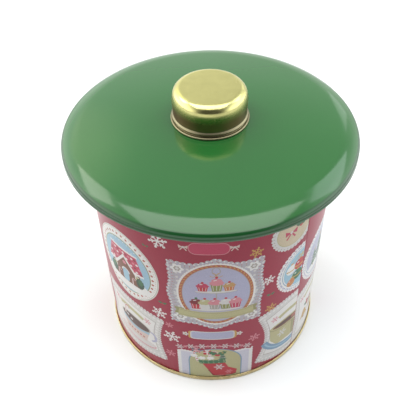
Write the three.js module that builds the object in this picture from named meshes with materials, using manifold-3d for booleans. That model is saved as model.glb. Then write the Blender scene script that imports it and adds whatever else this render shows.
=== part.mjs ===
// A round cookie tin: a seamed tinplate body, a double-shell plug lid and a stamped, screwed-on knob.
// Millimetres, +Z up. The origin is the centre of the base ring, on the surface that the tin stands on.
// The front of the tin faces -Y. Every sheet-metal piece is drawn as the mid-line of its sheet, as
// [radius, height, bend radius] corners, then given its thickness and turned round the tin's axis.
import * as THREE from 'three';
import { mergeVertices } from 'three/addons/utils/BufferGeometryUtils.js';
import Module from 'manifold-3d';

// Driving dimensions
const BODY_RADIUS = 71; // outside of the body wall
const BODY_HEIGHT = 149.55; // top of the body's curl, which the lid rests on
const SHEET = 0.28; // tinplate of the body, the base and the lid
const SEAM_HEIGHT = 3.2; // the double seam that joins the base to the wall
const CURL_RADIUS = 1.06; // mid-line of the curl at the mouth
const SIDE_SEAM_ANGLE = 48; // degrees round from the front, towards +X

const LID_RADIUS = 83.5;
const LID_LAND_RADIUS = 22; // the flat that the knob sits on
const LID_LAND_HEIGHT = 11.55; // above the seat of the lid
const DOME_RADIUS = 700;
const SHOULDER_START = 72; // where the dome turns down into the shoulder
const SHOULDER_ANGLE = 33; // degrees below level at the end of the shoulder
const EDGE_BEND = 2.6; // mid-line, where the shoulder turns into the skirt
const PLUG_RADIUS = 69.9; // outside of the plug that enters the mouth
const PLUG_DEPTH = 9.85;

const KNOB_RADIUS = 20.85; // outside, at the fullest of the side
const KNOB_HEIGHT = 19.7; // above the land of the lid
const KNOB_SHOULDER = 4.8; // bend radius at the edge of the top
const KNOB_BLEND = 76; // degrees bent to that radius, before the larger one of the side
const KNOB_SIDE = 16;
const KNOB_TAPER = 3.5; // degrees by which the side narrows towards the neck
const KNOB_SHEET = 0.4;
const KNOB_FLANGE_RADIUS = 21.95;
const SCREW_RADIUS = 1.95;
const WASHER_THICKNESS = 0.8;

// Gaps
const SEAM_PLAY = 0.08; // between the layers of a folded seam
const SEAT_PLAY = 0.1; // between the curl and the lid that rests on it
const CONTACT_PLAY = 0.05; // between stacked pieces of the knob's fastening
const PLATE_PLAY = 0.1; // over and under the plate inside the knob

// Facets
const SEGMENTS = 48;
const KNOB_SEGMENTS = 36;
const SCREW_SEGMENTS = 16;
const BEND_STEP = 45; // degrees of bend in one chord

// Radii of the mid-lines of the five layers of the base seam, from the inside out
const LAYER_PITCH = SHEET + SEAM_PLAY;
const WALL_LINE = BODY_RADIUS - SHEET / 2;
const CHUCK_LINE = WALL_LINE - LAYER_PITCH;
const COVER_HOOK_LINE = WALL_LINE + LAYER_PITCH;
const BODY_HOOK_LINE = WALL_LINE + 2 * LAYER_PITCH;
const SEAM_LINE = WALL_LINE + 3 * LAYER_PITCH;
const SEAM_BEND = 0.34;

const wasm = await Module();
wasm.setup();

const degrees = THREE.MathUtils.degToRad;

// Corners along an arc, as [radius, height] pairs. Angles are in degrees, anticlockwise from outwards.
function arc(centreR, centreZ, radius, from, to, step = BEND_STEP) {
  const steps = Math.ceil(Math.abs(to - from) / step - 1e-6);
  const corners = [];
  for (let i = 0; i <= steps; i += 1) {
    const angle = degrees(from + ((to - from) * i) / steps);
    corners.push([centreR + radius * Math.cos(angle), centreZ + radius * Math.sin(angle)]);
  }
  return corners;
}

// The points of one corner that is bent to a radius.
function bend(before, here, after, radius) {
  const back = before.clone().sub(here).normalize();
  const on = after.clone().sub(here).normalize();
  const turn = Math.PI - back.angleTo(on);
  const start = here.clone().addScaledVector(back, radius * Math.tan(turn / 2));
  const middle = back.clone().add(on).normalize();
  const centre = here.clone().addScaledVector(middle, radius / Math.cos(turn / 2));
  const way = Math.sign(on.cross(back));
  const steps = Math.max(1, Math.ceil(turn / degrees(BEND_STEP) - 1e-6));
  const points = [];
  for (let i = 0; i <= steps; i += 1) {
    points.push(start.clone().rotateAround(centre, (way * turn * i) / steps));
  }
  return points;
}

// A mid-line from its corners. A corner without a bend radius stays sharp.
function midLine(corners) {
  const at = corners.map(([radius, height]) => new THREE.Vector2(radius, height));
  return corners.flatMap(([, , radius = 0], i) =>
    radius > 0 ? bend(at[i - 1], at[i], at[i + 1], radius) : [at[i]],
  );
}

// The line parallel to a mid-line at a distance to its left.
function offsetLine(line, distance) {
  return line.map((point, i) => {
    const into = point.clone().sub(line[Math.max(i - 1, 0)]).normalize();
    const out = line[Math.min(i + 1, line.length - 1)].clone().sub(point).normalize();
    const along = into.clone().add(out).normalize();
    const widening = Math.max(along.dot(into), along.dot(out));
    const left = new THREE.Vector2(-along.y, along.x);
    return point.clone().addScaledVector(left, distance / widening);
  });
}

// Turns a closed section round the Z axis. A section that touches the axis starts and ends on it.
function turned(section, segments) {
  const outline = THREE.ShapeUtils.area(section) < 0 ? section.reverse() : section;
  if (outline[0].x > 0) outline.push(outline[0].clone());
  return new THREE.LatheGeometry(outline, segments).rotateX(Math.PI / 2);
}

// A turned sheet-metal piece of one thickness.
function sheetPiece(corners, thickness, segments) {
  const line = midLine(corners);
  const oneFace = offsetLine(line, thickness / 2);
  const otherFace = offsetLine(line, -thickness / 2);
  return turned([...oneFace, ...otherFace.reverse()], segments);
}

// A turned piece with a plain rectangular section.
function collar(inner, outer, bottom, top, segments) {
  const section = [[inner, bottom], [outer, bottom], [outer, top], [inner, top]];
  return turned(section.map(([radius, height]) => new THREE.Vector2(radius, height)), segments);
}

function toSolid(geometry) {
  const bare = geometry.clone();
  bare.deleteAttribute('normal');
  bare.deleteAttribute('uv');
  const merged = mergeVertices(bare);
  const mesh = { numProp: 3, vertProperties: merged.attributes.position.array };
  return new wasm.Manifold(new wasm.Mesh({ ...mesh, triVerts: new Uint32Array(merged.index.array) }));
}

function fromSolid(solid) {
  const { vertProperties, triVerts } = solid.getMesh();
  const geometry = new THREE.BufferGeometry();
  geometry.setAttribute('position', new THREE.BufferAttribute(vertProperties, 3));
  geometry.setIndex(new THREE.BufferAttribute(triVerts, 1));
  return geometry;
}

// The wall: body hook at the foot, straight side, outward curl at the mouth, and the folded strip
// that its lock seam raises on the inside. The strip stops short of the base seam and of the curl.
function bodyWall() {
  const hookFoot = SHEET / 2 + LAYER_PITCH;
  const hookEnd = SEAM_HEIGHT - 0.6;
  const curlHeight = BODY_HEIGHT - CURL_RADIUS - SHEET / 2;
  const curlEnd = -135; // degrees, where the rolled edge stops
  const wall = sheetPiece(
    [
      [BODY_HOOK_LINE, hookEnd],
      [BODY_HOOK_LINE, hookFoot, SEAM_BEND],
      [WALL_LINE, hookFoot, SEAM_BEND],
      ...arc(WALL_LINE + CURL_RADIUS, curlHeight, CURL_RADIUS, 180, curlEnd),
    ],
    SHEET,
    SEGMENTS,
  );
  const stripWidth = 6;
  const stripInner = BODY_RADIUS - 0.78;
  const stripOuter = BODY_RADIUS - 0.25;
  const stripFoot = 5.2;
  const stripHead = curlHeight - 1.4;
  const strip = new THREE.BoxGeometry(stripWidth, stripOuter - stripInner, stripHead - stripFoot);
  strip.translate(0, -(stripInner + stripOuter) / 2, (stripFoot + stripHead) / 2);
  strip.rotateZ(degrees(SIDE_SEAM_ANGLE));
  return fromSolid(toSolid(wall).add(toSolid(strip)));
}

// The base: cover hook and seaming wall of the double seam, a flat foot ring at height 0, the chuck
// wall, and a countersunk panel stiffened by an annular bead and a raised centre.
function bottomEnd() {
  const foot = SHEET / 2;
  const seamHead = SEAM_HEIGHT - SHEET / 2;
  const hookEnd = foot + 2.5 * LAYER_PITCH;
  const footBend = 0.5;
  const panel = 4.2;
  const panelBend = 1;
  const beadOuter = 64;
  const beadInner = 57.8;
  const beadRise = 0.8;
  const centreRadius = 30;
  const centreRise = 0.6;
  const slope = 1.2; // how far each step of the panel runs across
  return sheetPiece(
    [
      [COVER_HOOK_LINE, hookEnd],
      [COVER_HOOK_LINE, seamHead, SEAM_BEND],
      [SEAM_LINE, seamHead, SEAM_BEND],
      [SEAM_LINE, foot, footBend],
      [CHUCK_LINE, foot, footBend],
      [CHUCK_LINE, panel, panelBend],
      [beadOuter, panel],
      [beadOuter - slope, panel + beadRise],
      [beadInner + slope, panel + beadRise],
      [beadInner, panel],
      [centreRadius, panel],
      [centreRadius - slope, panel + centreRise],
      [0, panel + centreRise],
    ],
    SHEET,
    SEGMENTS,
  );
}

// The outer shell of the lid: knob land with its screw hole, shallow dome, shoulder, tight edge,
// short skirt, and a hem that folds in under the liner's flange. Heights are above the lid's seat.
function lidShell() {
  const land = LID_LAND_HEIGHT - SHEET / 2;
  const angleAt = (radius) => 90 - THREE.MathUtils.radToDeg(Math.asin(radius / DOME_RADIUS));
  const domeCentre = land - DOME_RADIUS * Math.sin(degrees(angleAt(LID_LAND_RADIUS)));
  const domeEnd = degrees(angleAt(SHOULDER_START));
  const shoulderEnd = degrees(90 - SHOULDER_ANGLE);
  const skirtLine = LID_RADIUS - SHEET / 2;
  const reach = skirtLine - EDGE_BEND + EDGE_BEND * Math.cos(shoulderEnd) - SHOULDER_START;
  const shoulderRadius = reach / (Math.cos(shoulderEnd) - Math.cos(domeEnd));
  const shoulderR = SHOULDER_START - shoulderRadius * Math.cos(domeEnd);
  const shoulderZ = domeCentre + (DOME_RADIUS - shoulderRadius) * Math.sin(domeEnd);
  const edgeZ = shoulderZ + (shoulderRadius - EDGE_BEND) * Math.sin(shoulderEnd);
  const dome = arc(0, domeCentre, DOME_RADIUS, angleAt(LID_LAND_RADIUS), angleAt(SHOULDER_START), 1.1);
  const shoulderAngles = [THREE.MathUtils.radToDeg(domeEnd), 90 - SHOULDER_ANGLE];
  const shoulder = arc(shoulderR, shoulderZ, shoulderRadius, ...shoulderAngles, 7);
  const edge = arc(skirtLine - EDGE_BEND, edgeZ, EDGE_BEND, shoulderAngles[1], 0, 20);
  const screwHole = SCREW_RADIUS + 0.35;
  const hem = SHEET / 2 - LAYER_PITCH;
  const hemBend = 0.5;
  const hemWidth = 3.9;
  return sheetPiece(
    [
      [screwHole, land],
      ...dome,
      ...shoulder.slice(1),
      ...edge.slice(1),
      [skirtLine, hem, hemBend],
      [skirtLine - hemWidth, hem],
    ],
    SHEET,
    SEGMENTS,
  );
}

// The inner shell of the lid: a flat flange held by the hem, and the plug pan that enters the mouth.
function lidLiner() {
  const edge = LID_RADIUS - 0.6; // just inside the shell's hem
  const flange = SHEET / 2;
  const flangeBend = 1;
  const plugLine = PLUG_RADIUS - SHEET / 2;
  const panel = flange - PLUG_DEPTH;
  const panelBend = 1.5;
  const stepOuter = 60;
  const stepInner = 58;
  const stepRise = 1.2;
  return sheetPiece(
    [
      [edge, flange],
      [plugLine, flange, flangeBend],
      [plugLine, panel, panelBend],
      [stepOuter, panel],
      [stepInner, panel + stepRise],
      [0, panel + stepRise],
    ],
    SHEET,
    SEGMENTS,
  );
}

// The knob: a drawn cap with a bead and a groove above its flange, whose hem grips the base plate.
// Its shoulder starts tight and opens into the fuller bend of the side. Heights are above the land.
function knobShell() {
  const half = KNOB_SHEET / 2;
  const side = KNOB_RADIUS - half;
  const rim = KNOB_FLANGE_RADIUS - half;
  const head = KNOB_HEIGHT - half;
  const hem = half + CONTACT_PLAY;
  const hemWidth = 1.55;
  const flange = hem + 1;
  const flangeBend = 0.4;
  const bead = flange + 1.85;
  const beadReach = 1; // how far the bead stands out, and half its height
  const beadBend = 0.45;
  const grooveBend = 0.5;
  const blend = degrees(KNOB_BLEND);
  const growth = KNOB_SIDE - KNOB_SHOULDER;
  const shoulderR = side - KNOB_SIDE + growth * Math.sin(blend);
  const shoulderZ = head - KNOB_SHOULDER;
  const sideZ = shoulderZ - growth * Math.cos(blend);
  const shoulder = arc(shoulderR, shoulderZ, KNOB_SHOULDER, 90, 90 - KNOB_BLEND);
  const fullBend = arc(side - KNOB_SIDE, sideZ, KNOB_SIDE, 90 - KNOB_BLEND, -KNOB_TAPER);
  const [taperR, taperZ] = fullBend.at(-1);
  const neck = taperR - (taperZ - bead - beadReach) * Math.tan(degrees(KNOB_TAPER));
  return sheetPiece(
    [
      [0, head],
      ...shoulder,
      ...fullBend.slice(1),
      [neck, bead + beadReach, grooveBend],
      [neck + beadReach, bead, beadBend],
      [neck, bead - beadReach, grooveBend],
      [neck, flange, 0.35],
      [rim, flange, flangeBend],
      [rim, hem, flangeBend],
      [rim - hemWidth, hem],
    ],
    KNOB_SHEET,
    KNOB_SEGMENTS,
  );
}

// The plate inside the knob's hem, with the hole that the screw passes.
function knobBasePlate() {
  const bottom = CONTACT_PLAY + KNOB_SHEET + PLATE_PLAY;
  const inner = SCREW_RADIUS + 0.25;
  const outer = KNOB_FLANGE_RADIUS - 0.55;
  return collar(inner, outer, bottom, bottom + KNOB_SHEET, KNOB_SEGMENTS);
}

// The hexagon nut that stands on the base plate inside the knob.
function knobNut() {
  const acrossCorners = 8.1;
  const height = 3.2;
  const boreRadius = SCREW_RADIUS + 0.06;
  const outline = new THREE.Shape();
  for (let i = 0; i < 6; i += 1) {
    const angle = (i * Math.PI) / 3;
    const corner = [(acrossCorners / 2) * Math.cos(angle), (acrossCorners / 2) * Math.sin(angle)];
    if (i === 0) outline.moveTo(...corner);
    else outline.lineTo(...corner);
  }
  outline.closePath();
  const prism = new THREE.ExtrudeGeometry(outline, { depth: height, bevelEnabled: false });
  const bore = new THREE.CylinderGeometry(boreRadius, boreRadius, 2 * height, SCREW_SEGMENTS);
  bore.rotateX(Math.PI / 2);
  return fromSolid(toSolid(prism).subtract(toSolid(bore)));
}

// The washer and the slotted screw under the land, inside the hollow of the lid.
function knobWasher(top) {
  const inner = SCREW_RADIUS + 0.2;
  const outer = 6;
  return collar(inner, outer, top - WASHER_THICKNESS, top, SCREW_SEGMENTS * 2);
}

function knobScrew(headTop) {
  const headRadius = 3.9;
  const headBottom = headTop - 2.4;
  const headChamfer = 0.9;
  const shankTop = 8;
  const shankChamfer = 0.5;
  const slotWidth = 1.1;
  const slotDepth = 1.2;
  const section = [
    [0, headBottom],
    [headRadius - headChamfer, headBottom],
    [headRadius, headBottom + headChamfer],
    [headRadius, headTop],
    [SCREW_RADIUS, headTop],
    [SCREW_RADIUS, shankTop - shankChamfer],
    [SCREW_RADIUS - shankChamfer, shankTop],
    [0, shankTop],
  ];
  const screw = turned(section.map(([radius, height]) => new THREE.Vector2(radius, height)), SCREW_SEGMENTS);
  const slot = new THREE.BoxGeometry(3 * headRadius, slotWidth, 2 * slotDepth).translate(0, 0, headBottom);
  return fromSolid(toSolid(screw).subtract(toSolid(slot)));
}

function piece(name, geometry, material) {
  const mesh = new THREE.Mesh(geometry, material);
  mesh.name = name;
  return mesh;
}

function metal(color, roughness, metalness) {
  return new THREE.MeshStandardMaterial({ color, roughness, metalness });
}

const printedRed = metal(0x9c3f44, 0.35, 0);
const goldLacquer = metal(0xb39a5c, 0.3, 0.9);
const greenEnamel = metal(0x4f8152, 0.2, 0);
const tinplate = metal(0xb9bbb6, 0.35, 0.9);
const brassPlate = metal(0xc9b25a, 0.22, 1);
const zincPlate = metal(0x9a9c9b, 0.4, 0.9);

const washerTop = -SHEET - CONTACT_PLAY;
const headTop = washerTop - WASHER_THICKNESS - CONTACT_PLAY;
const nut = piece('knob_nut', knobNut(), zincPlate);
nut.position.z = CONTACT_PLAY + 2 * (KNOB_SHEET + PLATE_PLAY);

const knob = new THREE.Group();
knob.position.z = LID_LAND_HEIGHT;
knob.add(
  piece('knob_shell', knobShell(), brassPlate),
  piece('knob_base_plate', knobBasePlate(), tinplate),
  nut,
  piece('knob_washer', knobWasher(washerTop), zincPlate),
  piece('knob_screw', knobScrew(headTop), zincPlate),
);

const lid = new THREE.Group();
lid.position.z = BODY_HEIGHT + SEAT_PLAY;
lid.add(piece('lid_shell', lidShell(), greenEnamel), piece('lid_liner', lidLiner(), tinplate), knob);

const tin = new THREE.Group();
tin.add(piece('body_wall', bodyWall(), printedRed), piece('bottom_end', bottomEnd(), goldLacquer), lid);

export default tin;
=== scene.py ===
"""A round cookie tin: printed tinplate body, green enamelled plug lid and a brass knob.

The pieces are turned or cut in millimetres round the CAD's own boxes, then brought into the frame.
The wall's print is flat artwork in (along, height) millimetres, measured from the front of the tin,
which is cut into the sheet itself, wrapped round it and inked face by face.
"""
from math import acos, atan2, ceil, copysign, cos, degrees, dist, exp, hypot, pi, radians, sin, tan

import bmesh
import bpy
import numpy as np
from mathutils import Matrix, Vector, geometry, noise


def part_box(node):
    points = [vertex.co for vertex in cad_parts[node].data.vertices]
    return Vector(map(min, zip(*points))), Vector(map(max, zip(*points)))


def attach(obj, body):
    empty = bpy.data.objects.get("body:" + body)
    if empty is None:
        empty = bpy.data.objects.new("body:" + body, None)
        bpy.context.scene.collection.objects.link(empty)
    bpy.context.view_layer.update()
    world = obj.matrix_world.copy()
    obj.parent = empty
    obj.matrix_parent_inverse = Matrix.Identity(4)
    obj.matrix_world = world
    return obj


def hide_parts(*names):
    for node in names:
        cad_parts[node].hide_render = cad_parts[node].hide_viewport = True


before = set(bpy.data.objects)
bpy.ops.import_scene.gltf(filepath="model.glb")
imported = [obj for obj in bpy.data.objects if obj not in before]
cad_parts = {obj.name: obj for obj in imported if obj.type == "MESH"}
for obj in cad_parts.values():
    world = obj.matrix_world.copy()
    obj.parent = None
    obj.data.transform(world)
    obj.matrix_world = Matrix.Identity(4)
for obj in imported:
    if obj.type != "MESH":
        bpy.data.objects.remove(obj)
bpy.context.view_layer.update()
scene = bpy.context.scene

MM = 0.001
TURN = 2 * pi


def in_mm(node):
    """A CAD node's outer radius and its lowest and highest point, in millimetres."""
    low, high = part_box(node)
    return high[0] / MM, low[2] / MM, high[2] / MM


BASE_RADIUS = in_mm("bottom_end")[0]
LID_RADIUS, LID_FOOT, LAND = in_mm("lid_shell")
LINER_RADIUS, PLUG_FOOT, LINER_HEAD = in_mm("lid_liner")
FLANGE_RADIUS, KNOB_FOOT, KNOB_HEAD = in_mm("knob_shell")
CURL_HEAD = in_mm("body_wall")[2]

# Tinplate and the folded seams, mm
SHEET = 0.28
LAYER = SHEET + 0.08
SEAM_HEIGHT = 3.2
SEAM_BEND = 0.34
WALL_RADIUS = BASE_RADIUS - 3 * LAYER
CURL_RADIUS = 1.06
FINE_TURN = 256  # facets round

# The side seam: a raised lap beside a narrow groove, mm
SEAM_ANGLE = radians(48)
GROOVE_HALF, GROOVE_DEPTH = 0.32, 0.22
LAP_WIDTH, LAP_HEIGHT, LAP_RAMP = 6.5, 0.16, 2

# The printed sheet, mm, from one side of the side seam round to the other
LENGTH = TURN * WALL_RADIUS
SHEET_END = SEAM_ANGLE * WALL_RADIUS
SHEET_START = SHEET_END - LENGTH
PRINT_FOOT, PRINT_HEAD = 2.2, 146.6
CUT_FOOT, CUT_HEAD = PRINT_FOOT - 0.6, PRINT_HEAD + 0.8
BAND = 12  # columns cut together

# The lid, mm and degrees
ENAMEL_LAND = 22
DOME_RADIUS, SHOULDER_START = 700, 72
EDGE_BEND, SHOULDER_ANGLE = 2.6, 33
PLUG_RADIUS = 69.9

# The knob, mm and degrees; its bend radii are above and below the blend
KNOB_SHEET = 0.4
KNOB_SHOULDER, KNOB_SIDE = 4.8, 16.0
KNOB_BLEND, KNOB_TAPER = 76, 3.5
KNOB_RADIUS = FLANGE_RADIUS - 1.1

LIGHT_DISTANCE = 1.3  # m


# ---- sheet metal


def swept(x, z, rx, rz, start, end, step=12):
    """Points on an ellipse between two angles, in degrees anticlockwise from +x."""
    count = max(2, ceil(abs(end - start) / step))
    angles = [radians(start + (end - start) * i / count) for i in range(count + 1)]
    return [(x + rx * cos(a), z + rz * sin(a)) for a in angles]


def pairs(loop):
    """Each item of a closed loop with the next."""
    return list(zip(loop, loop[1:] + loop[:1]))


def signed_area(loop):
    """Positive for a loop that runs anticlockwise, up to a factor of two."""
    return sum(p.x * q.y - q.x * p.y for p, q in pairs(loop))


def bent(corners):
    """The mid-line of a sheet from (radius, height[, bend radius]) corners."""
    line = []
    at = [Vector(c[:2]) for c in corners]
    for i, corner in enumerate(corners):
        if len(corner) == 2:
            line.append(at[i])
            continue
        back, on = (at[i - 1] - at[i]).normalized(), (at[i + 1] - at[i]).normalized()
        turn = pi - back.angle(on)
        start = at[i] + back * corner[2] * tan(turn / 2)
        centre = at[i] + (back + on).normalized() * corner[2] / cos(turn / 2)
        way = copysign(1, on.x * back.y - on.y * back.x)
        count = max(1, ceil(degrees(turn) / 12))
        for k in range(count + 1):
            spin = Matrix.Rotation(way * turn * k / count, 2)
            line.append(centre + spin @ (start - centre))
    return line


def beside(line, distance):
    """The line parallel to a mid-line, a distance to its left."""
    points = []
    for i, p in enumerate(line):
        into = (p - line[i - 1]).normalized() if i else None
        out = (line[i + 1] - p).normalized() if i + 1 < len(line) else None
        along = ((into or out) + (out or into)).normalized()
        widening = along.dot(into or out)
        points.append(p + Vector((-along.y, along.x)) * distance / widening)
    return points


def sheet_section(corners, thickness):
    """The closed section of a sheet, anticlockwise, as (radius, height) points."""
    line = bent(corners)
    section = beside(line, thickness / 2) + beside(line, -thickness / 2)[::-1]
    return section if signed_area(section) > 0 else section[::-1]


def place(radius, height, azimuth):
    """The point in metres, azimuth measured from the front towards +X."""
    across = radius * MM * sin(azimuth)
    return Vector((across, -radius * MM * cos(azimuth), height * MM))


def add_object(name, data):
    item = bpy.data.objects.new(name, data)
    scene.collection.objects.link(item)
    return item


def add_mesh(name, verts, faces, *materials):
    mesh = bpy.data.meshes.new(name)
    mesh.from_pydata(verts, [], faces)
    mesh.update()
    for material in materials:
        mesh.materials.append(material)
    return add_object(name, mesh)


def settle(piece, body, replaced):
    """Shades a piece, hangs it under its body and hides the CAD part it takes the place of."""
    piece.data.shade_smooth()
    piece.data.set_sharp_from_angle(angle=radians(40))
    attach(piece, body)
    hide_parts(replaced)


def turned(section, around, warp=None):
    """Vertices and quads of a section turned round the Z axis at the azimuths given."""
    verts, faces, columns = [], [], []
    for azimuth in around:
        column = []
        for j, (radius, height) in enumerate(section):
            on_axis = radius < 1e-6
            if on_axis and columns:
                column.append(columns[0][j])
                continue
            if warp and not on_axis:
                radius, height = warp(radius, height, azimuth)
            column.append(len(verts))
            verts.append(place(radius, height, azimuth))
        columns.append(column)
    for here, there in pairs(columns):
        for j in range(len(section)):
            k = (j + 1) % len(section)
            loop = list(dict.fromkeys((here[j], there[j], there[k], here[k])))
            if len(loop) > 2:
                faces.append(loop)
    return verts, faces


def turned_piece(name, material, body, slot, replaced, corners, warp=None, gauge=SHEET):
    around = [TURN * i / FINE_TURN for i in range(FINE_TURN)]
    verts, faces = turned(sheet_section(corners, gauge), around, warp)
    piece = add_mesh(name, verts, faces, material)
    settle(piece, body, replaced)
    return piece


def waves(radius, height, azimuth, size, amount):
    """A slow, seeded unevenness in height or radius, mm."""
    return amount * noise.noise(place(radius, height, azimuth) / MM / size)


def ramp(value, start, width):
    """0 up to the start, rising evenly to 1 over the width."""
    return min(1, max(0, (value - start) / width))


def off_seam(angle):
    """An angle from the side seam, between half a turn to each side."""
    return (angle - SEAM_ANGLE + pi) % TURN - pi


# ---- artwork: outlines in mm

INKS = dict(
    ground="9f1237", deep_red="7d1220", red="c02634", pink="d98a96", blush="d9c4bc",
    cream="d3c3a6", mist="d0cfe0", rose="c4375c", white="ecebea", ivory="d9d7d6",
    lace="b7b4bd", grey="a9a39b", lavender="b3b4d0", sky="9cc3d9", blue="759cba",
    slate="46546a", green="2f7048", dark_green="1f4a33", olive="8c9250", sage="a9b58c",
    khaki="bdb98a", moss="9a9768", tan="c39a62", gold="c9a04e", brown="7a4a32",
    choc="47291f", terracotta="b3604a", orange="c9773c", faint_red="b84455",
)
CORNERS = ((1, 1), (-1, 1), (-1, -1), (1, -1))
shapes = []


def linear(code):
    """Linear (r, g, b, 1) of a six-digit sRGB colour."""
    parts = [int(code[i : i + 2], 16) / 255 for i in (0, 2, 4)]
    return (*[c / 12.92 if c < 0.04045 else ((c + 0.055) / 1.055) ** 2.4 for c in parts], 1)


def oval(x, z, rx, rz=None, turn=0.0, lobes=0, depth=0.0):
    """An ellipse, or with lobes a petalled one."""
    rz = rz or rx
    count = lobes * 6 or max(10, int((rx + rz) * 2.2))
    c, s = cos(turn), sin(turn)
    points = []
    for i in range(count):
        a = TURN * i / count
        grow = 1 + depth * cos(lobes * a)
        px, pz = rx * grow * cos(a), rz * grow * sin(a)
        points.append((x + c * px - s * pz, z + s * px + c * pz))
    return points


def rounded(x, z, w, h, r):
    """A rectangle about its middle, with round corners."""
    steps = 3 + int(r)
    points = []
    for k, (sx, sz) in enumerate(CORNERS):
        for i in range(steps + 1):
            px, pz = polar(r, radians(90 * k + 90 * i / steps))
            points.append((x + sx * (w / 2 - r) + px, z + sz * (h / 2 - r) + pz))
    return points


def polar(distance, angle):
    return distance * cos(angle), distance * sin(angle)


def bowed(half, rise, count):
    """Points along a low arch whose ends are at height 0."""
    steps = [i / count for i in range(count + 1)]
    return [(half * (2 * t - 1), 4 * rise * t * (1 - t)) for t in steps]


def spaced(outline, pitch):
    """Points at an even pitch round a closed outline, each with the outward normal there."""
    line = [Vector(p) for p in outline]
    sides, way = pairs(line), copysign(1, signed_area(line))
    total = sum((q - p).length for p, q in sides)
    count = max(6, round(total / pitch))
    found, walked, i = [], 0, 0
    for p, q in sides:
        side = (q - p).length
        while i < count and i * total / count <= walked + side + 1e-9:
            along = (i * total / count - walked) / max(side, 1e-9)
            d = (q - p).normalized()
            found.append((p.lerp(q, min(1, along)), Vector((d.y, -d.x)) * way))
            i += 1
        walked += side
    return found


def scalloped(outline, pitch, lift):
    """The outline edged with small round scallops."""
    points = []
    found = spaced(outline, pitch)
    for (p, n), (q, m) in pairs(found):
        for k in range(5):
            bulge = lift * sin(pi * k / 5) ** 0.6
            points.append(tuple(p.lerp(q, k / 5) + (n + m).normalized() * bulge))
    return points


def paint(ink, outline):
    shapes.append((ink, outline))


def blob(ink, *form):
    paint(ink, oval(*form))


def trace(ink, points, width):
    """Paints a line of one width through points."""
    line = [Vector(p) for p in points]
    paint(ink, [tuple(p) for p in beside(line, width / 2) + beside(line, -width / 2)[::-1]])


def dots(outline, *rows):
    """Rows of dots along an outline, each an (ink, pitch, radius, inset)."""
    for ink, pitch, radius, inset in rows:
        for p, n in spaced(outline, pitch):
            blob(ink, *(p - n * inset), radius)


def placed(picture):
    """Makes a picture drawn about (0, 0) take the place of that point, and a scale."""

    def painted(x, z, *settings, scale=1.0):
        first = len(shapes)
        picture(*settings)
        for i, (ink, outline) in enumerate(shapes[first:], first):
            shapes[i] = (ink, [(x + px * scale, z + pz * scale) for px, pz in outline])

    return painted


# ---- artwork: small motifs


@placed
def snowflake(r, ink, turn=0.0):
    for k in range(6):
        a = turn + k * pi / 3
        tip, root = polar(r, a), Vector(polar(0.5 * r, a))
        trace(ink, [(0, 0), tip], r * 0.17)
        blob(ink, *tip, r * 0.17)
        for side in (-1, 1):
            twig = Vector(polar(0.36 * r, a + side * radians(50)))
            trace(ink, [root, root + twig], r * 0.15)
    blob(ink, 0, 0, r * 0.2)


@placed
def holly(s):
    for turn in (0.5, 2.6):
        blob("green", *polar(s * 0.62, turn), s * 0.66, s * 0.34, turn, 7, 0.16)
    for k in range(3):
        blob("red", *polar(s * 0.2, -0.5 - k * 1.1), s * 0.19)


@placed
def bow(s, ink):
    for side in (-1, 1):
        paint(ink, [(0, 0), (side * s, 0.55 * s), (side * 0.9 * s, -0.4 * s)])
        trace(ink, [(0, 0), (side * 0.7 * s, -s)], s * 0.25)
    blob("ivory", 0, 0, s * 0.24)


@placed
def star(r, ink="gold"):
    paint(ink, [polar((r, r * 0.45)[k % 2], pi / 2 + pi * k / 5) for k in range(10)])


@placed
def cupcake(w, case, icing, topping="red", tall=1.0):
    """A pleated case, two rolls of icing and a berry, above its foot."""
    h, roll = w * 0.72 * tall, w * 0.22 * tall
    paint(case, [(-0.36 * w, 0), (0.36 * w, 0), (0.5 * w, h), (-0.5 * w, h)])
    for k in (-2, 0, 2):
        trace("ivory", [(0.12 * w * k, 0.1 * h), (0.17 * w * k, 0.9 * h)], w * 0.045)
    blob(icing, 0, h, 0.58 * w, roll, 0, 9, 0.07)
    blob(icing, 0, h + roll, 0.42 * w, 0.8 * roll, 0, 7, 0.07)
    blob("white", -0.12 * w, h + 1.1 * roll, 0.16 * w, 0.05 * w, 0.3)
    blob(topping, 0, h + 2.2 * roll, 0.13 * w)


@placed
def candy_cane(h, lean=0.0):
    """A striped stick with a crook, above its foot."""
    r = h * 0.17
    line = [(0, 0), *swept(lean * h * 0.7 + r, h - r, r, r, 180, 0, 30)]
    trace("white", line, h * 0.14)
    for p, q in zip(line, line[1:]):
        count = max(1, round(dist(p, q) / (h * 0.16)))
        for k in range(count):
            stripe = Vector(p).lerp(Vector(q), (k + 0.5) / count)
            blob("red", *stripe, h * 0.068, h * 0.035, 0.6)


@placed
def gift(w, h, paper, tape):
    paint(paper, rounded(0, h / 2, w, h, 0.15 * h))
    trace(tape, [(0, 0), (0, h)], w * 0.16)
    trace(tape, [(-w / 2, h * 0.55), (w / 2, h * 0.55)], w * 0.12)
    bow(0, h, w * 0.3, tape)


@placed
def tree(h):
    trace("brown", [(0, 0), (0, 0.25 * h)], h * 0.09)
    tiers = ((0.16, 0.34, "green"), (0.4, 0.27, "dark_green"), (0.64, 0.19, "green"))
    for foot, half, ink in tiers:
        paint(ink, [(-half * h, foot * h), (half * h, foot * h), (0, (foot + 0.38) * h)])
        snow = swept(0, (foot + 0.02) * h, half * 0.8 * h, 0.04 * h, 180, 360, 45)
        trace("white", snow, 0.03 * h)
    star(0, 1.04 * h, 0.1 * h)


@placed
def bauble(r, ink):
    paint("gold", rounded(0, 1.1 * r, 0.44 * r, 0.4 * r, 0.08 * r))
    blob(ink, 0, 0, r)
    trace("gold", swept(0, 0, r * 0.97, r * 0.3, 190, 350, 20), r * 0.22)
    blob("white", -0.38 * r, 0.42 * r, 0.2 * r, 0.12 * r, 0.7)


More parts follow.
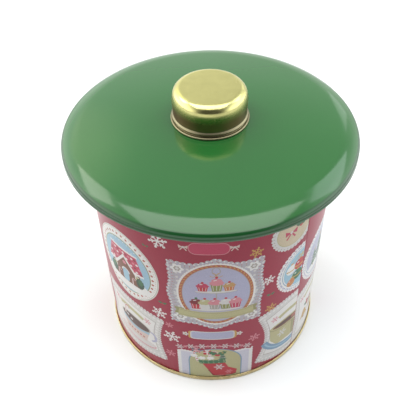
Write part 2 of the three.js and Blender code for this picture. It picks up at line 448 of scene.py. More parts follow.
@placed
def bell(s, ink="gold"):
    blob("brown", 0, -0.08 * s, 0.22 * s)
    dome = swept(0, 0.75 * s, 0.55 * s, 0.85 * s, 180, 0, 30)
    paint(ink, [(-s, 0), (-0.78 * s, 0.35 * s), *dome, (0.78 * s, 0.35 * s), (s, 0)])
    trace("tan", [(-0.8 * s, 0.3 * s), (0.8 * s, 0.3 * s)], 0.14 * s)


# ---- artwork: the pictures in the labels


@placed
def cake_stand():
    """Two tiers of cupcakes on a stand with a scrolled handle."""
    trace("grey", [(0, -14), (0, 19)], 0.7)
    trace("grey", swept(0, 21.4, 2.2, 3, 0, 360, 20), 0.55)
    for side in (-1, 1):
        trace("tan", swept(side * 1.9, 18.2, 1.6, 1.6, 90, 90 + side * 250, 25), 0.45)
    for height, half in ((3.2, 12), (-13.6, 15.5)):
        blob("ivory", 0, height, half, 1.1)
        trace("grey", swept(0, height, half, 1.1, 180, 360, 15), 0.35)
    cupcake(-7.6, 3.8, 6.4, "red", "rose")
    cupcake(0.2, 3.8, 7, "olive", "pink", "red", 1.45)
    cupcake(7.2, 3.8, 6.4, "orange", "tan")
    for x, case, icing, topping in (
        (-11.4, "red", "deep_red", "green"), (-6.5, "ivory", "khaki", "red"),
        (-0.9, "grey", "pink", "red"), (5.4, "olive", "ivory", "red"), (11, "rose", "pink", "red"),
    ):
        cupcake(x, -12.8, 6.9, case, icing, topping, 1.2)


@placed
def gingerbread_house():
    """A brown house under a wide sugared roof, with a trimmed gable and two trees."""
    blob("white", 0, -13, 18, 6.5)
    paint("brown", [(-12, -13), (12, -13), (12, 2), (-12, 2)])
    paint("rose", [(-15, -0.5), (15, -0.5), (10.5, 14.5), (-10.5, 14.5)])
    for row in range(4):
        half, height = 13.4 - 1.3 * row, 1.6 + 3.4 * row
        for k in range(9):
            ink = ("pink", "white", "deep_red")[(k + row) % 3]
            blob(ink, half * (k / 4 - 1), height, 1, 0.8)
    trace("white", [(-11.5, 14.9), (11.5, 14.9)], 1.4)
    paint("white", scalloped([(-15, -1), (15, -1), (15, 0), (-15, 0)], 2.4, 0.7))
    paint("brown", [(-7.5, -13), (7.5, -13), (7.5, -1), (0, 8.5), (-7.5, -1)])
    trace("white", [(-9, -2.6), (0, 9.4), (9, -2.6)], 1.7)
    blob("pink", 0, 3.4, 1.5, 1.5, 0, 6, 0.15)
    paint("sky", rounded(0, -7.7, 5.4, 10.6, 2.4))
    trace("white", swept(0, -5, 3.2, 3.2, 0, 180, 20), 0.8)
    for side in (-1, 1):
        window = rounded(side * 9.6, -4.3, 2.8, 3.4, 0.5)
        paint("khaki", window)
        trace("white", window + window[:1], 0.45)
        blob("dark_green", side * 11.4, -8, 3, 4.6, 0, 11, 0.06)
        blob("green", side * 11.9, -6.6, 1.7, 2.8, 0, 9, 0.08)
        candy_cane(side * 6.2 - 0.8, -13, 6.4)
    dots(oval(0, 18.4, 10, 3), ("white", 3.2, 0.4, 0))


@placed
def cocoa():
    """A wide cup of cocoa on a saucer."""
    blob("pink", 0, -13, 17, 4.4)
    blob("ivory", 0, -12.6, 16.2, 3.8)
    trace("lavender", swept(13, -2, 4.6, 5, -80, 80, 20), 1.8)
    paint("blush", [(-13.4, 3), (-9, -11.5), (9, -11.5), (13.4, 3)])
    paint("sky", [(-12.8, 1), (-12, -2), (0, -4.6), (12, -2), (12.8, 1)])
    blob("grey", 0, 3.4, 13.8, 5.2)
    blob("choc", 0, 3.2, 12.6, 4.4)
    for x, z in ((-7, 4.1), (-3.4, 2.3)):
        paint("ivory", rounded(x, z, 2.6, 1.8, 0.5))
    for k in range(6):
        blob(("rose", "terracotta")[k % 2], -7 + 2.8 * k, -8, 0.9)
    candy_cane(-10, 3, 11, 0.25)


@placed
def mug():
    """A barrel mug of chocolate over a curved ribbon."""
    trace("khaki", swept(11, -1, 6, 6, -100, 100, 20), 2)
    side = [(7, -9.4), (11.4, -3), (12, 6)]
    paint("khaki", [(-x, z) for x, z in side[::-1]] + side)
    paint("moss", [(2, 4), (3, -9.4), *side])
    blob("khaki", 0, 6.4, 12.4, 3.4)
    trace("moss", swept(0, 6.4, 12.2, 3.2, 180, 360, 15), 0.5)
    blob("brown", 0, 6.6, 10.4, 2.1)
    blob("choc", -3, 6.8, 6, 1.1)
    for x, ink in ((3.4, "terracotta"), (7, "pink")):
        blob(ink, x, 6.8, 1.9, 1.1, 0, 6, 0.12)
    trace("blue", swept(1, 3, 17, 16, 200, 340), 4)
    trace("sky", swept(1, 3, 17, 16, 205, 335), 1)
    snowflake(-4, -1.5, 2.6, "ivory")


@placed
def stocking():
    """A stocking full of gifts."""
    gift(-12, 14.6, 5.5, 4.5, "slate", "pink")
    gift(-5, 12.5, 5, 5, "red", "white")
    candy_cane(-11, 4, 12, -0.3)
    candy_cane(-4, 4, 12, 0.1)
    for x, z in ((-13.5, 10.5), (-8.5, 8.4), (-3, 8.6)):
        blob("white", x, z, 2.4, 1.8, 0, 7, 0.15)
    holly(1.4, 12.4, 5)
    tree(4.6, 5, 9)
    cuff = [(-11, 5.6), (6.4, 6.6), (6.8, 2.4), (-9.8, 1.6)]
    leg = [(-8.8, 3), (5.8, 3.6), (8.4, -3), (14.2, -7.4)]
    sole = [(13.6, -12.4), (6, -13.8), (-1.4, -12.4), (-4.4, -6)]
    paint("red", leg + sole)
    trace("deep_red", sole, 0.7)
    paint("green", cuff)
    dots(cuff, ("sage", 3.2, 0.45, 0.9))
    snowflake(2.4, -2.4, 3, "ivory")
    snowflake(8.8, -9, 2.2, "pink")


@placed
def bauble_cluster():
    """Baubles hung in a bunch from a bow."""
    hung = (
        (-9.6, 2.4, 4.2, "white"), (-2.8, 3.2, 4.6, "red"), (5.6, 1.5, 4.6, "blue"),
        (-4, -5.6, 4.4, "green"), (4, -7, 4.2, "rose"), (-9, -10, 3.4, "orange"),
    )
    for x, z, r, _ in hung:
        trace("gold", [(x, z + r), (x * 0.4, 12)], 0.35)
    for form in hung:
        bauble(*form)
    star(-1.5, 10.4, 2.6, "khaki")
    bow(3, 11.4, 3.2, "rose")


@placed
def bell_pair():
    bell(-5.4, -7, 5.6)
    bell(5.4, -5, 5.6, "khaki")
    holly(-1, 4, 5)
    bow(0, 8, 4.4, "red")


@placed
def fir_trees():
    blob("white", 0, -11, 15, 4.6)
    tree(-8, -11, 15)
    tree(8, -12, 13)
    tree(0, -13, 23)
    dots(oval(0, 4, 13, 12), ("white", 5.4, 0.5, 0))


# ---- artwork: label frames


# doily, round_lace, lace_panel and tag are drawn where they stand and are not @placed: at a
# sharp corner rounding decides where a dot falls, and it would differ about (0, 0).
def doily(x, z, w, h, crown, flank, hollow=0.0):
    """A doily's outline, its top and foot swelled by crown and its sides by flank, mm.

    A hollow narrows the swell and dips on each side of it.
    """
    corners = [Vector((x + sx * w / 2, z + sz * h / 2)) for sx, sz in CORNERS]
    outline = []
    for k, (here, there) in enumerate(pairs(corners)):
        out = ((here + there) / 2 - Vector((x, z))).normalized()
        for t in [i / 10 for i in range(10)]:
            arch = sin(pi * t)
            bump = exp(-(((t - 0.5) / 0.13) ** 2)) if hollow else arch
            swell_out = (crown, flank)[k % 2] * bump - hollow * arch
            outline.append(tuple(here.lerp(there, t) + out * swell_out))
    return outline


@placed
def ring(rx, rz, window):
    """A twisted rope ring round a window."""
    paint("white", scalloped(oval(0, 0, rx + 0.9, rz + 0.9), 1.9, 0.5))
    blob("terracotta", 0, 0, rx, rz)
    for p, n in spaced(oval(0, 0, rx - 0.9, rz - 0.9), 2.6):
        blob("gold", *p, 0.95, 0.38, atan2(n.y, n.x) + 0.95)
    blob("grey", 0, 0, rx - 1.9, rz - 1.9)
    blob(window, 0, 0, rx - 2.3, rz - 2.3)


@placed
def lace_square(w, h, window, picture):
    """A square paper doily round an oval window in a twisted ring."""
    outline = doily(0, 0, w, h, 5.6, 2.6, 1.3)
    paint("lace", scalloped(outline, 3.4, 1.3))
    dots(outline, ("white", 2.5, 0.55, -0.1), ("rose", 2.5, 0.3, 1.5), ("grey", 2.5, 0.45, 2.6))
    dots(outline, ("ivory", 3.4, 0.8, 4.2), ("lavender", 3.4, 0.45, 5.6))
    for sx in (-1, 1):
        for sz in (-1, 1):
            rose = (sx * (w / 2 - 5.4), sz * (h / 2 - 5.4))
            blob("white", *rose, 3.4, 3.4, 0, 6, 0.2)
            blob("grey", *rose, 1.9, 1.9, 0, 6, 0.15)
            blob("ivory", *rose, 1)
    ring(0.2, 0.6, w * 0.404, h * 0.49, window)
    picture(0.2, 0.6)


@placed
def ribbon(w, h, sag, edge="moss"):
    """A blank ribbon with forked ends."""
    tail = ((0.42, -0.3), (0.56, -0.3), (0.53, 0.15), (0.56, 0.6), (0.42, 0.6))
    for side in (-1, 1):
        paint(edge, [(side * w * along, h * up) for along, up in tail])
    line = bowed(w / 2, -sag, 10)
    trace("khaki", line, h)
    for up in (-0.34, 0.34):
        trace(edge, [(x, z + up * h) for x, z in line], 0.3)


@placed
def oval_label(rx, rz, window, picture):
    edge = oval(0, 0, rx - 0.9, rz - 0.9)
    blob("ivory", 0, 0, rx, rz)
    blob("olive", 0, 0, rx - 0.7, rz - 0.7)
    paint("white", edge)
    dots(edge, ("terracotta", 4.4, 0.9, 3), ("tan", 2.2, 0.3, 1.1))
    blob("olive", 0, -0.5, rx - 5.2, rz - 6.2)
    blob(window, 0, -0.5, rx - 5.8, rz - 6.8)
    picture(0, -1.5)


def round_lace(x, z, r, window, picture):
    """A round paper doily."""
    rim = oval(x, z, r)
    paint("white", scalloped(rim, 2.9, 1))
    dots(rim, ("lavender", 2.2, 0.7, 1.4), ("faint_red", 4.4, 0.35, 0.3), ("slate", 4.4, 0.32, 1.6))
    for ink, inset in (("blue", 3.2), ("white", 3.7), (window, 4.4)):
        blob(ink, x, z, r - inset)
    picture(x, z)


def lace_panel(x, z, w, h, picture=None, crown=3, flank=-4):
    """An upright doily with pointed corners, sides that bend in and a plain middle."""
    outline = doily(x, z, w, h, crown, flank)
    paint("ivory", scalloped(outline, 2.4, 1))
    dots(outline, ("grey", 2.4, 0.42, 0.5), ("white", 3.2, 0.9, 2.4))
    for ink, inset in (("grey", 11), ("white", 12)):
        paint(ink, doily(x, z, w - inset, h - inset, crown, flank * 0.6))
    trace("khaki", swept(x, z + h / 2 - 13, w * 0.24, 5, 30, 150, 15), 3.4)
    for side in (-1, 1):
        snowflake(x + side * w * 0.27, z + h / 2 - 9.5, 2.6, "pink")
    if picture:
        picture(x, z - 3)


@placed
def stamp(w, h, picture=None):
    """A perforated stamp with an arched window, above its foot."""
    half, reach = w / 2, w * 0.345
    paint("white", scalloped([(-half, 0), (half, 0), (half, h), (-half, h)], 2, 0.55))
    paint("mist", rounded(0, h / 2 - 0.2, w - 4, h - 2.4, 1))
    arch = [(-reach, 0), *swept(0, h * 0.62, reach, h * 0.5, 180, 0, 10), (reach, 0)]
    paint("blue", [(x * 1.045, z * 1.02) for x, z in arch])
    paint("khaki", arch)
    if picture:
        picture(0, 15)


@placed
def arched_banner(half, rise, h):
    """A blank banner bent over an arch, with stars and snowflakes along it."""
    band = bowed(half, rise, 14)
    trace("ground", band, h)
    for i, at in enumerate(band[1:-1]):
        if i % 2:
            star(*at, 1.7, "pink")
        else:
            snowflake(*at, 2.4, "ivory")


@placed
def plaque(w, h):
    paint("pink", rounded(0, 0, w, h, h * 0.45))
    paint("rose", rounded(0, 0, w - 0.9, h - 0.9, h * 0.4))


@placed
def pill():
    """A pale pill-shaped plaque with gilt ends and small flowers."""
    paint("gold", rounded(0, 0, 29.4, 7.6, 1.6))
    paint("ivory", rounded(0, 0, 27, 8.4, 2.2))
    paint("lavender", rounded(0, 0, 25.6, 7, 1.8))
    for x in (-16.5, 16.5):
        blob("ivory", x, 0, 1.7, 1.7, 0, 5, 0.25)
        blob("tan", x, 0, 0.6)


def tag(x, z, rx, rz):
    """A scalloped gift tag with a sprig; it runs up under the lid."""
    outline = oval(x, z, rx, rz)
    paint("ivory", scalloped(outline, 2.6, 1))
    dots(outline, ("grey", 2.6, 0.4, 0.8))
    for ink, inset in (("khaki", 2.6), ("cream", 3.1)):
        blob(ink, x, z, rx - inset, rz - inset)
    bow(x - 2, z - 1, 4.4, "rose")
    holly(x + 5, z + 1, 3.6)


def front_labels():
    """The side in the photo; x runs along the wall from the front."""
    plaque(-1.45, 130.5, 21.9, 9)
    bow(-15, 131, 2.6, "blush")
    bow(11.8, 131, 2.6, "blush")
    lace_square(1.9, 90.7, 52.8, 54.6, "lavender", cake_stand)
    ribbon(2, 73.6, 44, 6.8, 1.4)
    pill(-0.4, 51.2)
    stamp(1.15, 2.3, 47.8, 30)
    arched_banner(0.2, 33.6, 25, 6, 6)
    stocking(1.15, 17.3)
    # left of the front
    oval_label(-56, 94.5, 25, 28.5, "sky", gingerbread_house)
    lace_panel(-58, 36, 54, 44)
    cocoa(-55.5, 35)
    # right of the front, up to the side seam
    tag(47.5, 128, 14.5, 14)
    round_lace(59, 90.5, 19.8, "sky", bauble_cluster)
    lace_panel(55, 35.5, 54, 50, None, 6, -6.5)
    mug(53, 32.5, scale=1.3)
    # the bare ground between
    for x, z, r, ink in (
        (-29, 131, 5, "white"), (-33, 65.5, 4.5, "white"), (-26, 44, 5, "white"),
        (33, 95, 3.5, "white"), (24, 123, 3.5, "gold"), (36, 67, 3.5, "gold"),
        (-27, 56, 2.4, "pink"), (-28, 24, 3.2, "pink"), (26, 42, 3.4, "pink"),
    ):
        snowflake(x, z, r, ink, 0.26)
    for x, z, s in ((-37, 123, 1.8), (-30, 76, 2.4), (35, 80, 2.4)):
        holly(x, z, s)


def back_labels(start):
    """The unseen side, in two rows from the side seam on."""
    round_lace(start + 24, 84, 22.5, "lavender", fir_trees)
    lace_panel(start + 19.5, 31, 44, 51, bell_pair)
    lace_square(start + 77, 91, 54, 58, "sky", gingerbread_house)
    stamp(start + 76, 2.3, 47, 34, stocking)
    plaque(start + 77, 132, 21, 9.5)
    pill(start + 77, 50)
    oval_label(start + 134, 94.5, 25, 28.5, "lavender", fir_trees)
    lace_panel(start + 132, 36, 50, 46, mug)
    lace_square(start + 191, 91, 54, 58, "lavender", cake_stand)
    ribbon(start + 191.5, 73.5, 42, 6.6, 1.6, "olive")
    stamp(start + 190, 2.3, 47, 34, bell_pair)
    plaque(start + 191, 132, 21, 9.5)
    pill(start + 190, 50)
    round_lace(start + 246, 92, 24, "sky", bauble_cluster)
    lace_panel(start + 248, 36, 50, 46, cocoa)
    between = [(50, 118), (50, 66), (104, 60), (106, 28), (105, 128), (162, 62), (162, 128)]
    between += [(161, 30), (219, 60), (219, 26), (218, 128), (276, 64), (278, 120)]
    for k, (x, z) in enumerate(between):
        if k % 3 == 2:
            holly(start + x, z, 2.6)
        else:
            snowflake(start + x, z, 3.4 + (k % 2), ("white", "gold")[k % 3])


# ---- the printed wall


def seam_step(azimuth):
    """How far the wall stands out near the side seam, mm."""
    off = off_seam(azimuth) * WALL_RADIUS
    groove = GROOVE_DEPTH * max(0, 1 - abs(off) / GROOVE_HALF)
    lap = LAP_HEIGHT * ramp(off, -LAP_WIDTH, LAP_RAMP) if off < 0 else 0.0
    return lap - groove


def wall_azimuths():
    """Columns round the wall from the side seam on, closer across the seam."""
    lap = [LAP_RAMP / 2 * k - LAP_WIDTH for k in range(3)]
    groove = [GROOVE_HALF * k for k in (-1, -0.5, 0.5, 1)]
    close = [off / WALL_RADIUS for off in lap + groove]
    even = [TURN * i / FINE_TURN for i in range(FINE_TURN)]
    near = [a for a in even if all(abs((a - c + pi) % TURN - pi) > 0.002 for c in close)]
    return sorted(a % TURN for a in near + close)


def covers(outline, points):
    """Which of the points (n, 2) the outline winds round."""
    p = np.array(outline)
    q = np.roll(p, -1, axis=0)
    x, z = points[:, :1], points[:, 1:]
    left = (q[:, 0] - p[:, 0]) * (z - p[:, 1]) - (x - p[:, 0]) * (q[:, 1] - p[:, 1])
    up = (p[:, 1] <= z) & (q[:, 1] > z) & (left > 0)
    down = (p[:, 1] > z) & (q[:, 1] <= z) & (left < 0)
    return up.sum(1) != down.sum(1)


def clipped(p, q, low, high):
    """The printable part of the line from p to q between two x limits, if any."""
    (x0, z0), (x1, z1) = p, q
    if max(x0, x1) < low or min(x0, x1) > high:
        return []
    if max(z0, z1) <= PRINT_FOOT or min(z0, z1) >= PRINT_HEAD:
        return []
    ends = []
    for x, z in (p, q):
        limit = min(max(x, low), high)
        if limit != x:
            z = z0 + (z1 - z0) * (limit - x0) / (x1 - x0)
        ends.append((limit, min(max(z, PRINT_FOOT), PRINT_HEAD)))
    return ends


def cut_band(columns, near):
    """A band of the sheet between its first and last column, cut along every outline."""
    first, last = columns[0], columns[-1]
    points, edges = [], []

    def add(*ends):
        if ends:
            edges.append((len(points), len(points) + 1))
            points.extend(Vector(p) for p in ends)

    for along in columns:
        add((along, CUT_FOOT), (along, CUT_HEAD))
    for height in (CUT_FOOT, PRINT_FOOT, PRINT_HEAD, CUT_HEAD):
        add((first, height), (last, height))
    for _, outline in near:
        for p, q in pairs(outline):
            add(*clipped(p, q, first, last))
    flat, _, faces, *_ = geometry.delaunay_2d_cdt(points, edges, [], 0, 1e-4, False)
    flat = np.array([tuple(p) for p in flat])
    middles = flat[np.array(faces)].mean(axis=1)
    x, z = middles.T
    inked = np.zeros(len(faces), int)
    printable = (z >= PRINT_FOOT) & (z <= PRINT_HEAD)
    printable &= (x >= SHEET_START + GROOVE_HALF) & (x <= SHEET_END - GROOVE_HALF)
    for ink, outline in near:
        (x0, z0), (x1, z1) = np.min(outline, 0), np.max(outline, 0)
        close = np.flatnonzero(printable & (x > x0) & (x < x1) & (z > z0) & (z < z1))
        if len(close):
            inked[close[covers(outline, middles[close])]] = list(INKS).index(ink)
    return flat, faces, inked


def cut_print(columns):
    """The artwork cut into faces: (along, height) vertices, faces, and the ink of each face."""
    verts, faces, inks = [], [], []
    reaches = [(min(p[0] for p in o), max(p[0] for p in o)) for _, o in shapes]
    for k in range(0, len(columns) - 1, BAND):
        band = columns[k : k + BAND + 1]
        near = [s for s, (x0, x1) in zip(shapes, reaches) if x0 < band[-1] and x1 > band[0]]
        flat, cut, inked = cut_band(band, near)
        faces += [tuple(i + len(verts) for i in face) for face in cut]
        verts += [tuple(p) for p in flat]
        inks += list(inked)
    return verts, faces, inks


def printed_wall(print_material, lacquer):
    """The wall: a fine sheet whose outer face is the cut and inked print."""
    line = WALL_RADIUS - SHEET / 2
    hook_foot = SHEET / 2 + LAYER
    curl = (line + CURL_RADIUS, CURL_HEAD - CURL_RADIUS - SHEET / 2)
    corners = [
        (line + 2 * LAYER, SEAM_HEIGHT - 0.6),
        (line + 2 * LAYER, hook_foot, SEAM_BEND),
        (line, hook_foot, SEAM_BEND),
        (line, CUT_FOOT), (line, CUT_HEAD),
        *swept(*curl, CURL_RADIUS, CURL_RADIUS, 180, -135, 15),
    ]
    section = [tuple(p) for p in sheet_section(corners, SHEET)]
    start = min(range(len(section)), key=lambda i: dist(section[i], (WALL_RADIUS, CUT_FOOT)))
    section = section[start + 1 :] + section[: start + 1]
    around = wall_azimuths()

    def warp(radius, height, azimuth):
        inside = ramp(height, SEAM_HEIGHT, 2) * (height < CUT_HEAD + 0.1)
        return radius + inside * seam_step(azimuth), height

    verts, faces = turned(section, [a + SEAM_ANGLE for a in around], warp)
    # the section's last side is the outer face, which the print takes the place of
    faces = [f for i, f in enumerate(faces) if i % len(section) != len(section) - 1]
    columns = [SHEET_START + a * WALL_RADIUS for a in around] + [SHEET_END]
    flat, cut, inks = cut_print(columns)
    inks = [0] * len(faces) + [int(i) for i in inks]
    slots = [1] * len(faces) + [0] * len(cut)
    faces += [tuple(i + len(verts) for i in face) for face in cut]
    for along, height in flat:
        azimuth = along / WALL_RADIUS
        verts.append(place(*warp(WALL_RADIUS, height, azimuth), azimuth))
    piece = add_mesh("printed_wall", verts, faces, print_material, lacquer)
    mesh = piece.data
    mesh.attributes.new("ink", "INT", "FACE").data.foreach_set("value", inks)
    mesh.polygons.foreach_set("material_index", slots)
    weld(mesh)
    numbers = np.zeros(len(mesh.polygons), np.int32)
    mesh.attributes["ink"].data.foreach_get("value", numbers)
    palette = np.array([linear(code) for code in INKS.values()], np.float32)
    corner_inks = np.repeat(numbers, [p.loop_total for p in mesh.polygons])
    colours = mesh.color_attributes.new("print", "FLOAT_COLOR", "CORNER")
    colours.data.foreach_set("color", palette[corner_inks].ravel())
    settle(piece, "tin", "body_wall")
    round_normals(mesh)


def round_normals(mesh):
    """Shades the print as a true cylinder; the side seam keeps its own normals."""
    flat = np.zeros(3 * len(mesh.vertices), np.float32)
    mesh.vertices.foreach_get("co", flat)
    flat = flat.reshape(-1, 3)
    x, y, z = flat.T
    off = off_seam(np.arctan2(x, -y))
    normals = flat * (1, 1, 0)
    normals /= np.linalg.norm(normals, axis=1, keepdims=True)
    printed = (z > SEAM_HEIGHT * MM) & (z < PRINT_HEAD * MM)
    printed &= np.hypot(x, y) > (WALL_RADIUS - SHEET / 2) * MM
    printed &= np.abs(off) * WALL_RADIUS > LAP_WIDTH + 0.3
    normals[~printed] = 0
    mesh.normals_split_custom_set_from_vertices(normals)


def weld(mesh):
    """Joins points that coincide, and drops slivers without area."""
    build = bmesh.new()
    build.from_mesh(mesh)
    bmesh.ops.remove_doubles(build, verts=build.verts, dist=2e-7)
    bmesh.ops.dissolve_degenerate(build, edges=build.edges, dist=1e-8)
    build.to_mesh(mesh)
    build.free()


# ---- materials


class Nodes:
    """The nodes of a new material or world, with short calls to add and join them."""

    def __init__(self, name, made_in=bpy.data.materials, coordinate="Object"):
        self.owner = made_in.new(name)
        self.owner.use_nodes = True
        self.tree = self.owner.node_tree
        self.way = self.add("TexCoord").outputs[coordinate]

    def feed(self, socket, value):
        if isinstance(value, bpy.types.NodeSocket):
            self.tree.links.new(value, socket)
        else:
            socket.default_value = value

    def fill(self, node, **values):
        for key, value in values.items():
            self.feed(node.inputs[key.replace("_", " ")], value)

    def add(self, kind, *values, **settings):
        """A node with its settings, and values for its first sockets."""
        node = self.tree.nodes.new("ShaderNode" + kind)
        for key, value in settings.items():
            setattr(node, key, value)
        for socket, value in zip(node.inputs, values):
            self.feed(socket, value)
        return node

    def shader(self, **values):
        self.fill(self.tree.nodes["Principled BSDF"], **values)

    def math(self, operation, a, b=0.0):
        return self.add("Math", a, b, operation=operation).outputs[0]

    def times(self, a, b):
        return self.math("MULTIPLY", a, b)

    def mix(self, share, a, b, blend="MIX"):
        node = self.add("Mix", data_type="RGBA", blend_type=blend)
        self.fill(node, Factor=share, A=a, B=b)
        return node.outputs["Result"]

    def noise(self, scale, detail, roughness, stretch=None, vector=None):
        """Noise at a scale in cycles per metre."""
        vector = vector or self.way
        if stretch:
            mapping = self.add("Mapping")
            self.fill(mapping, Vector=vector, Scale=stretch)
            vector = mapping.outputs[0]
        node = self.add("TexNoise")
        self.fill(node, Vector=vector, Scale=scale, Detail=detail, Roughness=roughness)
        return node.outputs["Fac"]

    def span(self, value, low, high, to_low=0.0, to_high=1.0, **settings):
        node = self.add("MapRange", value, low, high, to_low, to_high, **settings)
        return node.outputs[0]

    def place(self):
        """Distance from the axis and height, in metres."""
        x, y, z = self.add("SeparateXYZ", self.way).outputs
        return self.math("SQRT", self.math("ADD", self.times(x, x), self.times(y, y))), z

    def bump(self, height, strength, distance):
        node = self.add("Bump")
        self.fill(node, Strength=strength, Distance=distance, Height=height)
        self.shader(Normal=node.outputs[0])


def printed_varnish():
    """Litho inks under clear varnish, with print grain and a foot rubbed bare in patches."""
    m = Nodes("printed_varnish")
    ink = m.add("Attribute", attribute_name="print").outputs["Color"]
    grain = m.span(m.noise(2600, 2, 0.6), 0.3, 0.7, 0.565, 0.725)
    screen = m.add("CombineColor", grain, grain, grain).outputs[0]
    colour = m.mix(1, ink, screen, "MULTIPLY")
    patches = m.noise(18, 3, 0.5)
    colour = m.mix(m.span(patches, 0.35, 0.75, 0, 0.12), colour, (0.22, 0.08, 0.08, 1))
    foot = m.span(m.place()[1], 0.0034, 0.0062, 1, 0)
    rubbed = m.times(foot, m.span(m.noise(260, 4, 0.7), 0.52, 0.62))
    colour = m.mix(m.times(rubbed, 0.6), colour, (0.33, 0.31, 0.26, 1))
    m.shader(Base_Color=colour, Roughness=m.span(patches, 0.3, 0.7, 0.30, 0.40), Coat_Weight=0.25)
    m.shader(Coat_Roughness=0.08, Coat_IOR=1.5, IOR=1.45, Specular_IOR_Level=0.16)
    m.bump(m.noise(900, 2, 0.5), 0.05, 0.0001)
    return m.owner


def green_enamel(name, polish, specular, coat):
    """Thick green enamel, with painted shade round the lid's edge and a painted highlight along the
    hem.
    """
    m = Nodes(name)
    reach, height = m.place()
    drift = m.span(m.noise(9, 2, 0.5), 0.3, 0.7)
    colour = m.mix(drift, (0.013, 0.097, 0.019, 1), (0.017, 0.113, 0.024, 1))
    specks = m.span(m.noise(420, 3, 0.6), 0.35, 0.65, 0, 0.12)
    colour = m.mix(specks, colour, (0.011, 0.08, 0.02, 1))
    # painted shade: the bend and skirt round the lid's edge are drawn a darker green
    edge = m.span(reach, (LID_RADIUS - 1.9) * MM, (LID_RADIUS - 1.2) * MM)
    colour = m.mix(edge, colour, (0.006, 0.056, 0.013, 1))
    # painted highlight: the hem is drawn paler, in patches, where its fold catches the floor's
    # light
    hem = m.span(height, (LID_FOOT + 1.7) * MM, (LID_FOOT + 1.1) * MM)
    painted_hem_highlight = m.times(hem, m.span(m.noise(330, 4, 0.75), 0.3, 0.5, 0.45, 1))
    colour = m.mix(painted_hem_highlight, colour, (0.06, 0.115, 0.070, 1))
    m.shader(Base_Color=colour, Roughness=m.span(m.noise(60, 3, 0.6), 0.3, 0.7, *polish))
    m.shader(IOR=1.5, Specular_IOR_Level=specular)
    m.shader(Coat_Weight=coat, Coat_Roughness=0.05, Coat_IOR=1.5)
    m.bump(m.noise(230, 2, 0.5), 0.06, 0.0002)
    return m.owner


def pale_brass():
    """Polished pale brass with turning marks, small scratches and dulled patches."""
    m = Nodes("pale_brass")
    reach, height = m.place()

    def below(top, fade):
        """1 near the knob's foot, falling to 0 over a fade that ends at the top, mm."""
        return m.span(height, (KNOB_FOOT + top - fade) * MM, (KNOB_FOOT + top) * MM, 1, 0)

    dull = m.noise(70, 4, 0.6)
    colour = m.mix(m.span(dull, 0.35, 0.7), (0.60, 0.565, 0.235, 1), (0.52, 0.49, 0.20, 1))
    low = below(15, 6)
    # painted shade: the low sides are drawn darker and redder, standing in for the dark lid they
    # mirror
    painted_low_shade = m.times(low, m.span(m.noise(45, 3, 0.6), 0.25, 0.7, 0.65, 1))
    colour = m.mix(painted_low_shade, colour, (0.27, 0.115, 0.08, 1))
    colour = m.mix(below(5.2, 1.2), colour, (0.25, 0.225, 0.14, 1))
    spots = m.span(m.noise(500, 3, 0.7), 0.70, 0.76)
    colour = m.mix(m.times(spots, 0.6), colour, (0.25, 0.2, 0.08, 1))
    # coordinates that vary across the turning marks but not along them
    across = m.add("CombineXYZ", m.times(reach, 2600), 0, m.times(height, 2600))
    rings = m.noise(1, 2, 0.6, vector=across.outputs[0])
    scratches = m.span(m.noise(90, 5, 0.75, (9, 1, 1)), 0.62, 0.7)
    rough = m.math("ADD", m.span(dull, 0.3, 0.7, 0.16, 0.28), m.times(scratches, 0.1))
    rough = m.math("ADD", rough, m.times(low, 0.12))
    m.shader(Base_Color=colour, Metallic=1.0, Roughness=rough)
    m.bump(m.math("ADD", rings, m.times(scratches, 0.5)), 0.12, 0.00008)
    return m.owner


def lacquered_tin(name, base, deep):
    """Tinplate under thin lacquer: rolling lines, a mottle of tin crystals and scuffs."""
    m = Nodes(name)
    crystals = m.add("TexVoronoi", feature="F1")
    m.fill(crystals, Vector=m.way, Scale=320)
    cells = m.times(crystals.outputs["Distance"], 0.6)
    mottle = m.math("ADD", cells, m.times(m.noise(40, 3, 0.55), 0.5))
    colour = m.mix(m.span(mottle, 0.3, 0.8), base, deep)
    scuffs = m.span(m.noise(180, 5, 0.75, (1, 1, 6)), 0.62, 0.70)
    colour = m.mix(m.times(scuffs, 0.4), colour, (0.62, 0.6, 0.55, 1))
    m.shader(Base_Color=colour, Metallic=0.9, Roughness=m.span(mottle, 0.3, 0.9, 0.24, 0.4))
    m.shader(Coat_Weight=0.4, Coat_Roughness=0.12, Coat_IOR=1.5)
    m.bump(m.noise(1500, 2, 0.5, (1, 1, 0.15)), 0.1, 0.00006)
    return m.owner


def zinc_plate():
    """Dull zinc plating with fine frost."""
    m = Nodes("zinc_plate")
    frost = m.noise(900, 4, 0.7)
    colour = m.mix(m.span(frost, 0.35, 0.65), (0.5, 0.51, 0.52, 1), (0.38, 0.39, 0.4, 1))
    m.shader(Base_Color=colour, Metallic=1.0, Roughness=m.span(frost, 0.3, 0.7, 0.3, 0.45))
    m.bump(frost, 0.1, 0.00005)
    return m.owner


def pale_floor():
    """A matt white floor with a faint drift."""
    m = Nodes("pale_floor")
    drift = m.span(m.noise(3, 2, 0.5), 0.3, 0.7)
    colour = m.mix(drift, (0.74, 0.75, 0.77, 1), (0.78, 0.79, 0.81, 1))
    m.shader(Base_Color=colour, Roughness=m.span(m.noise(40, 2, 0.5), 0.3, 0.7, 0.75, 0.85))
    m.shader(Specular_IOR_Level=0.2)
    return m.owner


# ---- the other pieces


